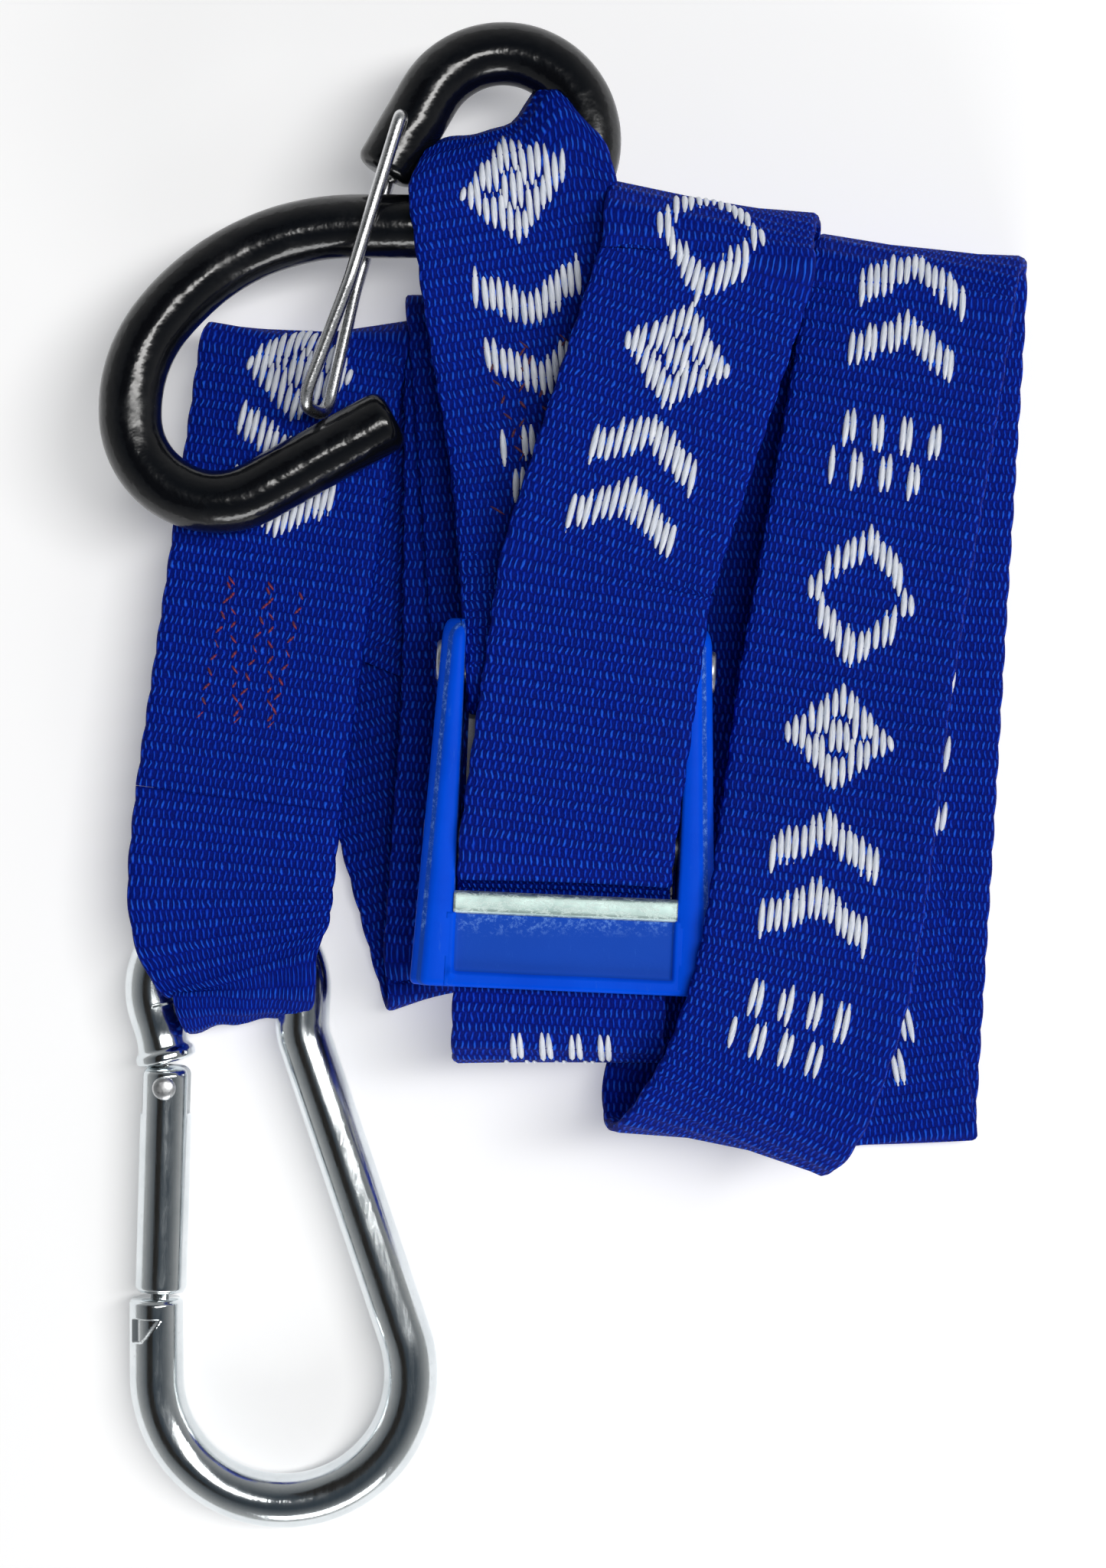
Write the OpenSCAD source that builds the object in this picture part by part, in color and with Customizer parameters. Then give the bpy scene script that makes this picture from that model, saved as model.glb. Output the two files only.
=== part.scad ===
// Cam-buckle tie-down, folded into a bundle and lying with its buckle's floor plate up.
// Origin at the bottom centre of the bounding box, +Y along the bundle, +Z up, millimetres.

/* [Webbing] */
// Width of the webbing
web_w = 25; // [24:0.5:25.4]
// Thickness of the webbing
web_t = 1.4; // [1:0.1:1.5]

/* [S-hook] */
// Diameter of the steel rod
hook_rod_d = 6; // [5:0.1:6.4]
// Diameter over the vinyl sleeve
sleeve_d = 7.5; // [7:0.1:7.6]
// Diameter of the wire of the gate
gate_wire_d = 1.6; // [1.2:0.1:1.8]

/* [Snap hook] */
// Diameter of the forged rod
snap_rod_d = 6.6; // [6:0.1:6.8]
// Diameter of the gate
snap_gate_d = 6.3; // [5.8:0.1:6.5]
// Diameter of the gate's rivet
rivet_d = 2.6; // [2:0.1:3]

/* [Buckle] */
// Outer width across the floor end
buckle_w = 35.8; // [34:0.2:38]
// Outer width across the arm tips
tip_w = 31.4; // [30.5:0.1:33]
// Clear width between the arms
inner_w = 26; // [25.8:0.1:27]
// Length from the floor end to the arm tips
buckle_l = 43; // [41:0.5:46]
// Thickness of the floor plate
plate_t = 2.6; // [2:0.1:2.8]
// Diameter of the cam pin and of the anchor bar
pin_d = 5; // [4.6:0.1:5]

/* [Hidden] */
$fn = 48;
fit = 0.05;       // radial running clearance of pins
skin = 0.3;       // gap between moving pieces
base = [-1, 1.35, 0];  // puts the bounding box's centre on the Z axis

blue = "mediumblue";
black = [0.08, 0.08, 0.09];
zinc = [0.72, 0.73, 0.74];
thread = "firebrick";

joint_lap = 0.15;  // straight runs of a bent rod reach this far into its bends,
bend_slim = 0.04;  // which are this much thinner

// ---- S-hook: its rod lies in one plane, a straight run is [length], a bend is [radius, turn] ----
hook_z = 15;
hook_start = [-21.5, 71.5];
hook_heading = 60;
hook_bends = [[10.3, -240], [17.7], [29.3, 50], [0.5], [17.3, 40], [0.5], [10.4, 119]];
hook_first = 10.8;
hook_last = 18.3;
sleeve_end = 0.8;            // thickness of the sleeve's closed ends
wire_pivot = [-19.2, 77.8];
wire_foot = [-29.8, 43.4];
wire_spread = 4.9;           // half gap between the wire's two legs beside the rod
wire_foot_spread = 2;
wire_bend = 0.56;            // where the legs start to close in, as a share of their length

// ---- Snap hook ----
snap_bar = [-41, -16.9, 5.2]; // centre of the narrow end's bar
snap_tilt = 1.4;
snap_start = [-49.9, -64.2];
snap_bends = [[9.4], [15.6, 198.5], [38], [7, -22], [3.2], [9.3, 196.5], [7]];
collar = [-48.45, -35.1];     // where the rod ends and the gate starts
gate_heading = 268.2;
gate_l = 28.2;
rivet_at = 3;                 // from the collar
tongue_t = 2.4;
tongue_w = 4.5;
gate_start = 1.5;             // clear of the rod's leaning end face
nose_l = 3.4;
gate_bore_d = 4;
gate_bore_l = 15;

// ---- Buckle: its own frame has the floor end's middle at the origin, the top face at z = 0 ----
buckle_at = [-0.2, -25.3, 25];
buckle_turn = -2.5;
cam_at = [17, -9];            // y, z of the cam pin
anchor_at = [38, -5];         // y, z of the anchor bar
bar_y = [8.7, 11.2];          // the wear bar's two edges
cam_w = 25;
lever_l = 15.5;
spring_gap = 9;

// ---- Webbing passes: [x, y, z, width], and the bulge of the fold that follows each pass ----
loop_w = 8.2;                 // the webbing gathered inside a hook's eye
stitch_l = 2;
snap_tail_pass = [[-35.2, 25, 0.9, web_w], [-39.2, -3, 0.9, web_w], [-41, -14, 0.9, loop_w],
    [-41, -24.6, 0.9, loop_w]];
snap_run_pass = [[-41, -24.6, 9.9, loop_w], [-41, -14, 9.9, loop_w], [-39.3, -3, 9.6, web_w],
    [-31.7, 49.9, 9.6, web_w]];
left_down = [[-30.7, 49.9, 2.6, web_w], [-10.6, -22.6, 2.6, web_w]];
left_up = [[-9.4, -22.6, 8, web_w], [-7, 10, 8, web_w], [-6.8, 50.4, 8, web_w]];
mid_down = [[-6.2, 50.4, 6.2, web_w], [17, -27.5, 6.2, web_w]];
mid_up = [[17.4, -27.5, 4.4, web_w], [24, 56, 4.4, web_w]];
right_down = [[24.6, 56, 2.6, web_w], [38.3, -44, 2.6, web_w]];
right_up = [[38.4, -44, 0.9, web_w], [41.8, 10.6, 0.9, web_w], [44.6, 56.6, 0.9, web_w]];
front_down = [[41.4, 56.6, 15, web_w], [33, 10.1, 21, web_w], [29.8, -12.3, 26.3, web_w],
    [27.6, -25.4, 26.4, web_w], [24.4, -34.6, 25, web_w]];
back_up = [[18.6, -33, 8, web_w], [19.6, 10, 8, web_w], [18.9, 40, 8, web_w], [18.8, 60, 8.2, web_w]];
run_down = [[16.9, 60, 24.2, web_w], [4.9, 23.3, 25.3, web_w], [2.4, 6, 26, web_w], [0.2, -9.5, 26, web_w],
    [0.1, -11.9, 25, web_w], [0.07, -12.6, 22.5, web_w], [0, -14.2, 21, web_w], [-0.56, -27, 21, web_w]];
free_up = [[-0.3, -26, 10, web_w], [-6.15, 53.6, 10, web_w]];
free_down = [[-6.6, 53.6, 4.4, web_w], [-7.4, 46, 4.4, web_w], [-21.2, 12, 4.4, web_w]];
short_front = [[0.6, 12.8, 23.8, 24], [0, 27, 18.6, web_w], [-0.6, 36, 17.6, web_w], [-3.4, 52, 17.6, web_w],
    [-4.6, 60, 19.9, web_w], [-6.2, 68, 19.9, loop_w], [-7.6, 72, 19.7, loop_w]];
short_back_top = [[-7.6, 72, 9.4, loop_w], [-6.2, 61, 9.4, loop_w], [-3.6, 52, 14.8, web_w],
    [-2, 45, 16.1, web_w]];
short_back_low = [[-1.9, 44.4, 16.1, web_w], [-0.2, 30, 16.5, web_w], [0.6, 12.8, 16.2, 24]];

function unit(v) = v / norm(v);
function spot(p) = [p[0], p[1], p[2]];
function way(a, b) = unit([b[0] - a[0], b[1] - a[1], 0]);
// The direction across the webbing, always towards +X
function across(a, b) = let (d = way(a, b)) d[1] > 0 ? [d[1], -d[0], 0] : [-d[1], d[0], 0];
// Stations of one straight or gently bent pass: [place, width, across]
function pass(p) = [for (i = [0:len(p) - 1]) let (a = p[max(i - 1, 0)], b = p[min(i + 1, len(p) - 1)])
    [spot(p[i]), p[i][3], across(a, b)]];
// Stations of the rounded fold from the end of one pass to the start of the next
function fold(p, q, bulge, steps = 6) =
    let (a = p[len(p) - 1], b = q[0], u = pass(p)[len(p) - 1][2], v = pass(q)[0][2],
        out = way(p[len(p) - 2], a))
    [for (k = [1:steps - 1]) let (m = (1 - cos(180 * k / steps)) / 2)
        [spot(a) * (1 - m) + spot(b) * m + out * bulge * sin(180 * k / steps), a[3] * (1 - m) + b[3] * m,
            unit(u * (1 - m) + v * m)]];
// One closed band of webbing through a list of stations
module band(s, t = web_t) {
    n = len(s);
    points = [for (i = [0:n - 1]) let (
        tangent = unit(s[min(i + 1, n - 1)][0] - s[max(i - 1, 0)][0]),
        up = unit(cross(s[i][2], tangent)))
        for (c = [[-1, -1], [1, -1], [1, 1], [-1, 1]])
            s[i][0] + s[i][2] * c[0] * s[i][1] / 2 + up * c[1] * t / 2];
    sides = [for (i = [0:n - 2], k = [0:3]) let (a = 4 * i + k, b = 4 * i + (k + 1) % 4)
        for (f = [[a, a + 4, b], [b, a + 4, b + 4]]) f];
    end = 4 * n - 1;
    polyhedron(points, concat([[0, 1, 2], [0, 2, 3]], sides,
        [[end, end - 1, end - 2], [end, end - 2, end - 3]]));
}

// A row of stitches along a stretch of webbing: dashes of thread that stand a little above and below it
module stitches(from, to, offset, count, length, through, thick = 0.7) {
    d = way(from, to);
    u = across(from, to);
    for (i = [0:count - 1]) let (m = count > 1 ? i / (count - 1) : 0.5)
        translate(spot(from) * (1 - m) + spot(to) * m + u * offset)
            rotate([0, 0, atan2(d[1], d[0])]) cube([length, thick, through], center = true);
}

// ---- Rods ----
module rod_between(a, b, d) {
    v = b - a;
    translate(a) rotate([0, acos(v[2] / norm(v)), atan2(v[1], v[0])]) cylinder(d = d, h = norm(v));
}
// A rod bent in the XY plane, which starts at the origin along +X
module bent_rod(d, bends, i = 0) {
    if (i < len(bends)) {
        b = bends[i];
        if (len(b) == 1) {
            lap = [i > 0 ? joint_lap : 0, i < len(bends) - 1 ? joint_lap : 0];
            translate([-lap[0], 0, 0]) rotate([0, 90, 0]) cylinder(d = d, h = b[0] + lap[0] + lap[1]);
            translate([b[0], 0, 0]) bent_rod(d, bends, i + 1);
        } else {
            side = sign(b[1]);
            translate([0, side * b[0], 0]) {
                rotate([0, 0, -90 * side + min(b[1], 0)])
                    rotate_extrude(angle = abs(b[1])) translate([b[0], 0]) circle(d = d - bend_slim);
                rotate([0, 0, b[1]]) translate([0, -side * b[0], 0]) bent_rod(d, bends, i + 1);
            }
        }
    }
}

// ---- Webbing sub-parts ----
// Each stretch ends on the first station of the next one, so that they meet face to face
module snap_loop_tail() color(blue)
    band(concat(pass(snap_tail_pass), fold(snap_tail_pass, snap_run_pass, 4.7), [pass(snap_run_pass)[0]]));
module strap_run_to_snap() color(blue)
    band(concat(pass(snap_run_pass), fold(snap_run_pass, left_down, 3.5), [pass(left_down)[0]]));
module strap_folds_left() color(blue)
    band(concat(pass(left_down), fold(left_down, left_up, 2.7), pass(left_up),
        fold(left_up, mid_down, 1.1), pass(mid_down), fold(mid_down, mid_up, 1.1), pass(mid_up),
        fold(mid_up, right_down, 1.1), [pass(right_down)[0]]));
module strap_folds_right() color(blue)
    band(concat(pass(right_down), fold(right_down, right_up, 1.1), pass(right_up),
        fold(right_up, front_down, 6.5, 8), pass(front_down), fold(front_down, back_up, 10, 8),
        [pass(back_up)[0]]));
module strap_run_to_buckle() color(blue)
    band(concat(pass(back_up), fold(back_up, run_down, 7.2, 8), pass(run_down),
        fold(run_down, free_up, 7, 8), [pass(free_up)[0]]));
module strap_free_end() color(blue)
    band(concat(pass(free_up), fold(free_up, free_down, 3.8), pass(free_down)));
module short_strap() color(blue) {
    band(concat(pass(short_front), fold(short_front, short_back_top, 4.6, 8), pass(short_back_top)));
    band(concat(pass(short_back_low), fold(short_back_low, short_front, 4.6, 8), [pass(short_front)[0]]));
}

// Five rows of stitches side by side, row_gap apart
module stitch_rows(from, to, row_gap, count, through)
    for (i = [-2:2]) stitches(from, to, i * row_gap, count, stitch_l, through);
module snap_loop_stitching() color(thread)
    stitch_rows([-35.2, 22, 9.6], [-36.8, 6, 9.6], 2.6, 5, web_t + 0.4);
module hook_loop_stitching() color(thread)
    stitch_rows([-2.6, 48, 16.9], [-1, 38, 16.9], 3.2, 4, 2 * web_t + 0.6);
module buckle_loop_stitching() color(thread)
    stitch_rows([-0.4, 32, 17.4], [0, 27.5, 17.6], 3.2, 2, 2 * web_t);
// Two wide bars of thread across the hem
module free_end_hem() color(thread)
    for (i = [-1, 1]) stitches([-19.4, 16, 4.4], [-20, 14.4, 4.4], i * 5, 2, 0.8, web_t + 0.3, 8);

// ---- S-hook sub-parts ----
module on_hook() translate([hook_start[0], hook_start[1], hook_z]) rotate([0, 0, hook_heading]) children();
module wire_holes() for (s = [0, 1]) translate([wire_pivot[0], wire_pivot[1], hook_z]) rotate([180 * s, 0, 0])
    translate([0, 0, 0.8]) cylinder(d = gate_wire_d + 2 * fit, h = 8);
// The bare rod, which stops short of the sleeve's closed ends
module bare_hook() on_hook() translate([sleeve_end, 0, 0])
    bent_rod(hook_rod_d, concat([[hook_first - sleeve_end]], hook_bends, [[hook_last - sleeve_end]]));
module s_hook_rod() color(zinc) difference() {
    bare_hook();
    wire_holes();
}
module s_hook_sleeve() color(black) difference() {
    on_hook() bent_rod(sleeve_d, concat([[hook_first]], hook_bends, [[hook_last]]));
    bare_hook();
    wire_holes();
}
module wire_gate() color(zinc) {
    bend = wire_pivot + (wire_foot - wire_pivot) * wire_bend;
    for (s = [-1, 1]) {
        top = [wire_pivot[0], wire_pivot[1], hook_z + s * wire_spread];
        mid = [bend[0], bend[1], hook_z + s * wire_spread];
        foot = [wire_foot[0], wire_foot[1], hook_z + s * wire_foot_spread];
        rod_between([wire_pivot[0], wire_pivot[1], hook_z + s * 1.2], top + [0, 0, s * gate_wire_d / 2],
            gate_wire_d);
        rod_between(top, mid + (mid - top) * 0.02, gate_wire_d - bend_slim);
        rod_between(mid, foot, gate_wire_d);
    }
    rod_between([wire_foot[0], wire_foot[1], hook_z - wire_foot_spread - 0.9],
        [wire_foot[0], wire_foot[1], hook_z + wire_foot_spread + 0.9], gate_wire_d + 0.1);
}

// ---- Snap hook sub-parts ----
module on_snap() translate(snap_bar) rotate([snap_tilt, 0, 0])
    translate([-snap_bar[0], -snap_bar[1], 0]) children();
module on_gate() on_snap() translate([collar[0], collar[1], 0]) rotate([0, 0, gate_heading]) children();
module snap_hook_body() color(zinc) difference() {
    union() {
        on_snap() translate([snap_start[0], snap_start[1], 0])
            rotate([0, 0, 270]) bent_rod(snap_rod_d, snap_bends);
        on_gate() translate([-0.6, -tongue_w / 2, -tongue_t / 2]) cube([rivet_at + 0.6, tongue_w, tongue_t]);
        on_gate() translate([rivet_at, 0, -tongue_t / 2]) cylinder(d = tongue_w, h = tongue_t);
    }
    on_gate() translate([rivet_at, 0, -8]) cylinder(d = rivet_d, h = 16);
    // The slot in the hook's tip takes the gate's nose and is open on the inner side
    on_gate() translate([gate_l, -1.9, -1.5]) cube([nose_l + 1.2, 8, 3]);
}
module snap_gate() color(zinc) difference() {
    union() {
        on_gate() translate([gate_start, 0, 0])
            rotate([0, 90, 0]) cylinder(d = snap_gate_d, h = gate_l - gate_start);
        on_gate() translate([gate_l - 1, -1.2, -1.1]) cube([nose_l, 2.4, 2.2]);
    }
    on_gate() translate([-1, -5, -tongue_t / 2 - skin]) cube([rivet_at + 4.2, 10, tongue_t + 2 * skin]);
    on_gate() translate([rivet_at, 0, 0]) rotate([0, 90, 0]) cylinder(d = gate_bore_d, h = gate_bore_l);
    on_gate() translate([rivet_at, 0, -8]) cylinder(d = rivet_d + 2 * fit, h = 16);
}
module snap_gate_rivet() color(zinc) on_gate() translate([rivet_at, 0, 0]) {
    translate([0, 0, -3.3]) cylinder(d = rivet_d, h = 6.6);
}
module snap_gate_plunger() color(zinc) on_gate() translate([rivet_at + 2.75, 0, 0])
    rotate([0, 90, 0]) cylinder(d = gate_bore_d - 0.4, h = 3);
// A coil of round wire along +Z
module coil(d, wire, turns, length, steps = 12, sides = 6) {
    n = turns * steps;
    points = [for (i = [0:n]) let (a = 360 * i / steps, z = length * i / n) for (k = [0:sides - 1])
        let (b = 360 * k / sides, r = d / 2 + wire / 2 * cos(b))
            [r * cos(a), r * sin(a), z + wire / 2 * sin(b)]];
    faces = [for (i = [0:n - 1], k = [0:sides - 1]) let (a = sides * i + k, b = sides * i + (k + 1) % sides)
        for (f = [[a, b, a + sides], [b, b + sides, a + sides]]) f];
    polyhedron(points, concat([[for (k = [0:sides - 1]) k]], faces,
        [[for (k = [sides - 1:-1:0]) sides * n + k]]));
}
module snap_gate_spring() color(zinc) on_gate() translate([rivet_at + 6.2, 0, 0])
    rotate([0, 90, 0]) coil(3, 0.6, 8, 8);

// ---- Buckle sub-parts ----
module on_buckle() translate(buckle_at) rotate([0, 0, buckle_turn]) children();
// Extrudes a side view, drawn in y and z, across the width w
module side_view(w) rotate([90, 0, 90]) translate([0, 0, -w / 2]) linear_extrude(w) children();
module cheek_side() {
    polygon([[0, 0], [buckle_l, 0], [buckle_l, -6.8], [anchor_at[0] + 2.4, -8.8], [anchor_at[0] - 3, -8.8],
        [cam_at[0] + 4, -13], [cam_at[0] - 4, -13], [3.5, -9.5], [0, -5.5]]);
    translate(cam_at) circle(d = 9);
}
module cheeks() intersection() {
    side_view(buckle_w + 2) cheek_side();
    translate([0, 0, -20]) linear_extrude(20) for (s = [-1, 1])
        polygon([[s * inner_w / 2, 0], [s * buckle_w / 2, 0],
        [s * tip_w / 2, buckle_l], [s * inner_w / 2, buckle_l]]);
}
module buckle_frame() color("royalblue") difference() {
    on_buckle() union() {
        cheeks();
        difference() {
            translate([-inner_w / 2 - 1, 0, -plate_t]) cube([inner_w + 2, bar_y[0], plate_t]);
            translate([-inner_w / 2 + 0.6, 1.7, -0.7]) cube([inner_w - 1.2, bar_y[0], 2]);
        }
    }
    for (c = [cam_at, anchor_at]) cross_pin(c, 60);
}
module floor_wear_bar() color("gainsboro") on_buckle()
    translate([-inner_w / 2, bar_y[0], -plate_t]) cube([inner_w, bar_y[1] - bar_y[0], plate_t]);
// A pin across the buckle that stands a little proud of each cheek
module cross_pin(at, w) on_buckle() translate([0, at[0], at[1]])
    rotate([0, 90, 0]) cylinder(d = pin_d, h = w, center = true);
module anchor_bar() color(zinc) cross_pin(anchor_at, tip_w + 1.4);
module cam_pin() color(zinc) cross_pin(cam_at, buckle_w - 1.4);
module cam_lever() color("dimgray") on_buckle() translate([0, cam_at[0], cam_at[1]]) difference() {
    union() {
        side_view(cam_w) circle(d = 8);
        side_view(cam_w) translate([-2.6, -1.8])
            polygon([for (i = [0:23]) let (a = 20 + i * 7, r = i % 2 ? 5.4 : 6) [r * cos(a), r * sin(a)]]);
        side_view(cam_w) polygon([[0, -1.6], [lever_l - 1, -2], [lever_l, -2.6], [lever_l - 0.4, -4.1],
            [0, -4]]);
    }
    rotate([0, 90, 0]) cylinder(d = pin_d + 2 * fit, h = 60, center = true);
    cube([spring_gap, 8.4, 20], center = true);
    translate([-spring_gap / 2, -4.2, 0]) cube([spring_gap, 20, 8]);
}
module cam_spring() color(zinc) on_buckle() translate([0, cam_at[0], cam_at[1]])
    rotate([0, 90, 0]) translate([0, 0, -3]) coil(6.4, 0.9, 5, 6);

module place() translate(base) children();
place() snap_loop_tail();
place() strap_run_to_snap();
place() strap_folds_left();
place() strap_folds_right();
place() strap_run_to_buckle();
place() strap_free_end();
place() short_strap();
place() snap_loop_stitching();
place() hook_loop_stitching();
place() buckle_loop_stitching();
place() free_end_hem();
place() s_hook_rod();
place() s_hook_sleeve();
place() wire_gate();
place() snap_hook_body();
place() snap_gate();
place() snap_gate_rivet();
place() snap_gate_plunger();
place() snap_gate_spring();
place() buckle_frame();
place() floor_wear_bar();
place() anchor_bar();
place() cam_pin();
place() cam_lever();
place() cam_spring();
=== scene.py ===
import math

import bpy
import numpy as np
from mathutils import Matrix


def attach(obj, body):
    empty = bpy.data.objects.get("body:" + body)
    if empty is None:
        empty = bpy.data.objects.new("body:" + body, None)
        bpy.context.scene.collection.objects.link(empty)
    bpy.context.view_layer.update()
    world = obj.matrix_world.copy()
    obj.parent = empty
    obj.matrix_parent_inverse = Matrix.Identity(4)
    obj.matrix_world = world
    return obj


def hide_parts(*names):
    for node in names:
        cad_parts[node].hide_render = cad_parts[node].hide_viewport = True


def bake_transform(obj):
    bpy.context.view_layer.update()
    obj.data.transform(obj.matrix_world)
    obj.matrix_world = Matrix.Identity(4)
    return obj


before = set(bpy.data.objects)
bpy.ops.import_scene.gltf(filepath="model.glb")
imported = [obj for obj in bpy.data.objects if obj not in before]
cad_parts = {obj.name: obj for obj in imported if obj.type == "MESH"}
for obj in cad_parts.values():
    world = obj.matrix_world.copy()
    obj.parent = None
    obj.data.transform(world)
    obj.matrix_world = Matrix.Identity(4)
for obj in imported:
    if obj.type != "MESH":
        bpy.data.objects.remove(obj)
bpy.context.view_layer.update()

MM = 0.001
BASE = np.array([-1.0, 1.35, 0.0])      # the same shift that the CAD model gives every node
TAU = 2 * math.pi

# ---------------------------------------------------------------- mesh building


def smooth_shaded(mesh):
    mesh.polygons.foreach_set("use_smooth", np.ones(len(mesh.polygons), dtype=bool))
    mesh.update()


def new_piece(name, points, quads, tris=None, attributes=None):
    """A mesh object from points in millimetres and arrays of quads and triangles, turned so that its faces
    look outwards: the signed volume under its faces is made positive."""
    points = np.asarray(points, float) + BASE
    quads = np.asarray(quads, int).reshape(-1, 4)
    tris = np.zeros((0, 3), int) if tris is None else np.asarray(tris, int).reshape(-1, 3)
    corners = np.vstack([quads[:, [0, 1, 2]], quads[:, [0, 2, 3]], tris])
    a, b, c = (points[corners[:, k]] for k in range(3))
    if np.einsum("ij,ij->i", a, np.cross(b, c)).sum() < 0:
        quads, tris = quads[:, ::-1], tris[:, ::-1]
    mesh = bpy.data.meshes.new(name)
    mesh.from_pydata((points * MM).tolist(), [], quads.tolist() + tris.tolist())
    for key, values in (attributes or {}).items():
        layer = mesh.attributes.new(key, "FLOAT_VECTOR", "POINT")
        layer.data.foreach_set("vector", np.asarray(values, np.float32).ravel())
    smooth_shaded(mesh)
    piece = bpy.data.objects.new(name, mesh)
    bpy.context.scene.collection.objects.link(piece)
    return piece


def loft_faces(count, around, first=0):
    """Quads between count rings of around points each, and a fan to a centre point at each end."""
    ring = np.arange(around)
    i = np.arange(count - 1)[:, None] * around + first
    following = (ring + 1) % around
    quads = np.stack([i + ring, i + following, i + around + following, i + around + ring], -1)
    start, end = first + count * around, first + count * around + 1
    last = first + (count - 1) * around
    caps = [np.stack([following + first, ring + first, np.full(around, start)], -1),
            np.stack([ring + last, following + last, np.full(around, end)], -1)]
    return quads.reshape(-1, 4), np.vstack(caps)


def loft(name, rings, attributes=None):
    """A closed skin through rings, an array of (count, around, 3), capped at both ends."""
    rings = np.asarray(rings, float)
    count, around = rings.shape[:2]
    points = np.vstack([rings.reshape(-1, 3), rings[0].mean(0), rings[-1].mean(0)])
    quads, caps = loft_faces(count, around)
    extra = {}
    for key, values in (attributes or {}).items():
        values = np.asarray(values, float)
        extra[key] = np.vstack([values.reshape(-1, 3), values[0].mean(0), values[-1].mean(0)])
    return new_piece(name, points, quads, caps, extra)


def joined(name, pieces):
    """One object that holds several closed shells."""
    with bpy.context.temp_override(active_object=pieces[0], selected_editable_objects=pieces):
        bpy.ops.object.join()
    pieces[0].name = name
    return pieces[0]


def unit(v):
    return v / np.maximum(np.linalg.norm(v, axis=-1, keepdims=True), 1e-12)


def smoothed(values, sigma):
    """Gaussian smoothing along the first axis that keeps both end values: the ends are continued by point
    reflection."""
    if sigma <= 0 or len(values) < 3:
        return values
    reach = int(min(4 * sigma, len(values) - 1))
    k = np.exp(-0.5 * (np.arange(-reach, reach + 1) / sigma) ** 2)
    k /= k.sum()
    head = 2 * values[0] - values[reach:0:-1]
    tail = 2 * values[-1] - values[-2:-reach - 2:-1]
    longer = np.concatenate([head, values, tail])
    return np.stack([np.convolve(longer[:, j], k, "valid") for j in range(values.shape[1])], -1)


# ---------------------------------------------------------------- the webbing's route
# The same passes as in the CAD model: [x, y, z, width] in millimetres, each followed by a rounded fold.

WEB_W = 25.0
WEB_T = 1.4
LOOP_W = 8.2
SNAP_TAIL = [(-35.2, 25, 0.9, WEB_W), (-39.2, -3, 0.9, WEB_W), (-41, -14, 0.9, LOOP_W),
             (-41, -24.6, 0.9, LOOP_W)]
SNAP_RUN = [(-38.6, -25.4, 9.8, 17.5), (-39.9, -21.5, 9.6, 23.5), (-40.5, -15, 9.6, WEB_W),
            (-39.3, -3, 9.6, WEB_W), (-31.7, 49.9, 9.6, WEB_W)]
LEFT_DOWN = [(-30.7, 49.9, 2.6, WEB_W), (-10.6, -22.6, 2.6, WEB_W)]
LEFT_UP = [(-9.4, -22.6, 8, WEB_W), (-7, 10, 8, WEB_W), (-6.8, 50.4, 8, WEB_W)]
MID_DOWN = [(-6.2, 50.4, 6.2, WEB_W), (17, -27.5, 6.2, WEB_W)]
MID_UP = [(17.4, -27.5, 4.4, WEB_W), (24, 56, 4.4, WEB_W)]
RIGHT_DOWN = [(24.6, 56, 2.6, WEB_W), (38.3, -44, 2.6, WEB_W)]
RIGHT_UP = [(38.4, -44, 0.9, WEB_W), (41.8, 10.6, 0.9, WEB_W), (44.6, 56.6, 0.9, WEB_W)]
FRONT_DOWN = [(41.4, 56.6, 15, WEB_W), (33, 10.1, 21, WEB_W), (29.8, -12.3, 26.3, WEB_W),
              (27.6, -25.4, 26.4, WEB_W), (24.4, -34.6, 25, WEB_W)]
BACK_UP = [(18.6, -33, 8, WEB_W), (19.6, 10, 8, WEB_W), (18.9, 40, 8, WEB_W), (18.8, 60, 8.2, WEB_W)]
RUN_DOWN = [(16.9, 60, 24.2, WEB_W), (4.9, 23.3, 25.3, WEB_W), (2.4, 6, 26, WEB_W), (0.2, -9.5, 26, WEB_W),
            (0.1, -11.9, 25, WEB_W), (0.07, -12.6, 22.5, WEB_W), (0, -14.2, 21, WEB_W),
            (-0.56, -27, 21, WEB_W)]
FREE_UP = [(-0.3, -26, 10, WEB_W), (-6.15, 53.6, 10, WEB_W)]
FREE_DOWN = [(-6.6, 53.6, 4.4, WEB_W), (-7.4, 46, 4.4, WEB_W), (-21.2, 12, 4.4, WEB_W)]
LONG_PASSES = [SNAP_TAIL, SNAP_RUN, LEFT_DOWN, LEFT_UP, MID_DOWN, MID_UP, RIGHT_DOWN, RIGHT_UP,
               FRONT_DOWN, BACK_UP, RUN_DOWN, FREE_UP, FREE_DOWN]
LONG_BULGES = [4.7, 3.5, 2.7, 1.1, 1.1, 1.1, 1.1, 6.5, 10, 7.2, 7, 3.8]
SHORT_FRONT = [(0.6, 12.8, 23.8, 24), (0, 27, 18.6, WEB_W), (-0.6, 36, 17.6, WEB_W), (-3.4, 52, 17.6, WEB_W),
               (-4.6, 60, 19.9, WEB_W), (-6.2, 70, 20.2, 24.4)]
SHORT_BACK_TOP = [(-7.6, 72, 9.4, LOOP_W), (-6.2, 61, 9.4, LOOP_W), (-3.6, 52, 14.8, WEB_W),
                  (-2, 45, 16.1, WEB_W)]
SHORT_BACK_LOW = [(-1.9, 44.4, 16.1, WEB_W), (-0.2, 30, 16.5, WEB_W), (0.6, 12.8, 16.2, 24)]

OVER_FLOOR = 0.02   # the lowest that any webbing lies
FINE = 0.2          # spacing of the first sampling of a route
RIB = 2.2           # pitch of the webbing's ribs
STATION = RIB / 4   # spacing of the finished stations


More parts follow.
